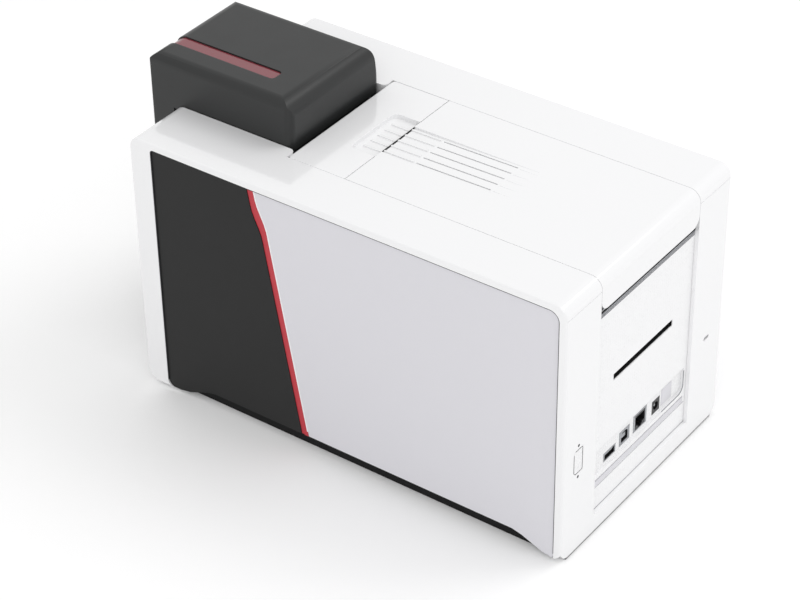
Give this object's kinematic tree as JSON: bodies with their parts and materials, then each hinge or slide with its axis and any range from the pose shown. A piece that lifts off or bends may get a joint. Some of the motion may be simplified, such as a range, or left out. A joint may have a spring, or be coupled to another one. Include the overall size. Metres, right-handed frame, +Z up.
{
  "type": "id card printer",
  "caption": "Desktop card printer with a white two-housing shell, hinged rear hood, black top feeder with lid, front output bin and rear connector pocket.",
  "frame": {"origin": "on the floor under the middle of the footprint", "axes": "+Z up, +Y towards the rear with the connectors, -Y towards the front, +X to the right seen from the front"},
  "size_m": [0.205, 0.384, 0.247],
  "materials": {
    "shell_white": "glossy moulded white",
    "panel_dark": "satin dark grey",
    "panel_light": "satin light grey",
    "accent_red": "satin red",
    "rear_white": "finely stippled white",
    "feeder_black": "satin black",
    "window_red": "translucent red",
    "inner_dark": "dark moulded",
    "rubber_black": "moulded rubber",
    "port_steel": "plated steel",
    "port_dark": "black connector plastic",
    "frame_steel": "zinc plated sheet",
    "head_metal": "machined",
    "light_lens": "clear lens",
    "button_grey": "satin",
    "gear_white": "natural moulded",
    "roller_dark": "ground rubber",
    "cleaner_blue": "tacky silicone",
    "pinion_brass": "turned",
    "motor_dark": "painted steel",
    "board_green": "circuit board",
    "ribbon_violet": "coated film",
    "spool_black": "moulded"
  },
  "bodies": {
    "base": {"base_tray": "inner_dark", "rubber_feet": "rubber_black", "left_housing": "shell_white", "right_housing": "shell_white", "left_dark_panel": "panel_dark", "right_dark_panel": "panel_dark", "left_light_panel": "panel_light", "right_light_panel": "panel_light", "left_stripe": "accent_red", "right_stripe": "accent_red", "rear_panel": "rear_white", "rear_sill": "shell_white", "usb_a_port": "port_steel", "usb_b_port": "port_steel", "ethernet_port": "port_dark", "power_inlet": "port_dark", "inlet_pin": "port_steel", "serial_knockout": "rear_white", "lock_slot": "port_steel", "hood_hinge_bracket": "frame_steel", "hood_hinge_pins": "frame_steel", "left_frame_plate": "frame_steel", "right_frame_plate": "frame_steel", "frame_crossbars": "frame_steel", "card_guide": "inner_dark", "front_fascia": "feeder_black", "output_bin": "inner_dark", "status_light": "light_lens", "input_hopper": "inner_dark", "lid_hinge_pins": "frame_steel", "latch_springs": "frame_steel", "latch_bridge": "inner_dark", "drive_motor": "motor_dark", "main_board": "board_green", "ribbon_film": "ribbon_violet"},
    "hood": {"hood": "shell_white", "printhead_bracket": "frame_steel", "printhead": "head_metal", "latch_catches": "frame_steel"},
    "feeder_lid": {"feeder_lid": "feeder_black", "lid_window": "window_red"},
    "release_bar": {"release_bar": "shell_white"},
    "latch_hooks": {"latch_hooks": "frame_steel"},
    "control_button": {"control_button": "button_grey"},
    "platen": {"platen_roller": "roller_dark", "platen_gear": "gear_white"},
    "pick_roller": {"pick_roller": "roller_dark"},
    "pick_idler": {"pick_idler": "gear_white"},
    "feed_roller": {"feed_roller": "roller_dark"},
    "feed_idler": {"feed_idler": "gear_white"},
    "transport_roller": {"transport_roller": "roller_dark"},
    "transport_idler": {"transport_idler": "gear_white"},
    "exit_idler": {"exit_idler": "gear_white"},
    "exit_roller": {"exit_roller": "roller_dark"},
    "motor_pinion": {"motor_pinion": "pinion_brass"},
    "cleaning_roller": {"cleaning_roller": "cleaner_blue"},
    "front_pinch_roller": {"front_pinch_roller": "roller_dark"},
    "rear_pinch_roller": {"rear_pinch_roller": "roller_dark"},
    "supply_spool": {"supply_spool": "ribbon_violet"},
    "take_up_spool": {"take_up_spool": "spool_black"}
  },
  "joints": [
    {"name": "hood_hinge", "type": "hinge", "parent": "base", "child": "hood", "pos_m": [0, 0.1872, 0.1839], "axis": [-1, 0, 0], "range_deg": [0, 75]},
    {"name": "feeder_lid_hinge", "type": "hinge", "parent": "base", "child": "feeder_lid", "pos_m": [0, -0.0716, 0.2175], "axis": [-1, 0, 0], "range_deg": [0, 70]},
    {"name": "release_bar_press", "type": "slide", "parent": "base", "child": "release_bar", "axis": [0, 0, -1], "range_m": [0, 0.002], "stiffness_N_per_m": 600, "springref_m": -0.003, "deforming": ["latch_springs"]},
    {"name": "latch_hooks_turn", "type": "hinge", "parent": "base", "child": "latch_hooks", "pos_m": [0, -0.026, 0.183], "axis": [1, 0, 0], "range_deg": [0, 10]},
    {"name": "control_button_press", "type": "slide", "parent": "base", "child": "control_button", "axis": [0, 1, 0], "range_m": [0, 0.001], "stiffness_N_per_m": 300, "springref_m": -0.001},
    {"name": "platen_spin", "type": "hinge", "parent": "base", "child": "platen", "pos_m": [0, 0.057, 0.11], "axis": [1, 0, 0], "continuous": true},
    {"name": "pick_roller_spin", "type": "hinge", "parent": "base", "child": "pick_roller", "pos_m": [0, -0.128, 0.11], "axis": [1, 0, 0], "continuous": true},
    {"name": "pick_idler_spin", "type": "hinge", "parent": "base", "child": "pick_idler", "pos_m": [0, -0.0955, 0.11], "axis": [1, 0, 0], "continuous": true},
    {"name": "feed_roller_spin", "type": "hinge", "parent": "base", "child": "feed_roller", "pos_m": [0, -0.063, 0.11], "axis": [1, 0, 0], "continuous": true},
    {"name": "feed_idler_spin", "type": "hinge", "parent": "base", "child": "feed_idler", "pos_m": [0, -0.033, 0.11], "axis": [1, 0, 0], "continuous": true},
    {"name": "transport_roller_spin", "type": "hinge", "parent": "base", "child": "transport_roller", "pos_m": [0, -0.003, 0.11], "axis": [1, 0, 0], "continuous": true},
    {"name": "transport_idler_spin", "type": "hinge", "parent": "base", "child": "transport_idler", "pos_m": [0, 0.027, 0.11], "axis": [1, 0, 0], "continuous": true},
    {"name": "exit_idler_spin", "type": "hinge", "parent": "base", "child": "exit_idler", "pos_m": [0, 0.087, 0.11], "axis": [1, 0, 0], "continuous": true},
    {"name": "exit_roller_spin", "type": "hinge", "parent": "base", "child": "exit_roller", "pos_m": [0, 0.117, 0.11], "axis": [1, 0, 0], "continuous": true},
    {"name": "motor_pinion_spin", "type": "hinge", "parent": "base", "child": "motor_pinion", "pos_m": [0, 0.087, 0.084], "axis": [1, 0, 0], "continuous": true},
    {"name": "cleaning_roller_spin", "type": "hinge", "parent": "base", "child": "cleaning_roller", "pos_m": [0, -0.063, 0.1246], "axis": [1, 0, 0], "continuous": true},
    {"name": "front_pinch_roller_spin", "type": "hinge", "parent": "base", "child": "front_pinch_roller", "pos_m": [0, -0.003, 0.1216], "axis": [1, 0, 0], "continuous": true},
    {"name": "rear_pinch_roller_spin", "type": "hinge", "parent": "base", "child": "rear_pinch_roller", "pos_m": [0, 0.117, 0.1216], "axis": [1, 0, 0], "continuous": true},
    {"name": "supply_spool_spin", "type": "hinge", "parent": "base", "child": "supply_spool", "pos_m": [0, 0.12, 0.179], "axis": [1, 0, 0], "continuous": true},
    {"name": "take_up_spool_spin", "type": "hinge", "parent": "base", "child": "take_up_spool", "pos_m": [0, 0.007, 0.172], "axis": [1, 0, 0], "continuous": true}
  ],
  "couplings": [
    {"joint": "latch_hooks_turn", "follows": "release_bar_press", "rad_per_m": 80},
    {"joint": "transport_idler_spin", "follows": "platen_spin", "ratio": -0.5},
    {"joint": "transport_roller_spin", "follows": "platen_spin", "ratio": 1},
    {"joint": "feed_idler_spin", "follows": "platen_spin", "ratio": -0.5},
    {"joint": "feed_roller_spin", "follows": "platen_spin", "ratio": 1},
    {"joint": "pick_idler_spin", "follows": "platen_spin", "ratio": -0.44444},
    {"joint": "pick_roller_spin", "follows": "platen_spin", "ratio": 1},
    {"joint": "exit_idler_spin", "follows": "platen_spin", "ratio": -0.5},
    {"joint": "exit_roller_spin", "follows": "platen_spin", "ratio": 1},
    {"joint": "motor_pinion_spin", "follows": "platen_spin", "ratio": 1.6667},
    {"joint": "cleaning_roller_spin", "follows": "platen_spin", "ratio": -0.75},
    {"joint": "front_pinch_roller_spin", "follows": "platen_spin", "ratio": -1.2},
    {"joint": "rear_pinch_roller_spin", "follows": "platen_spin", "ratio": -1.2}
  ]
}
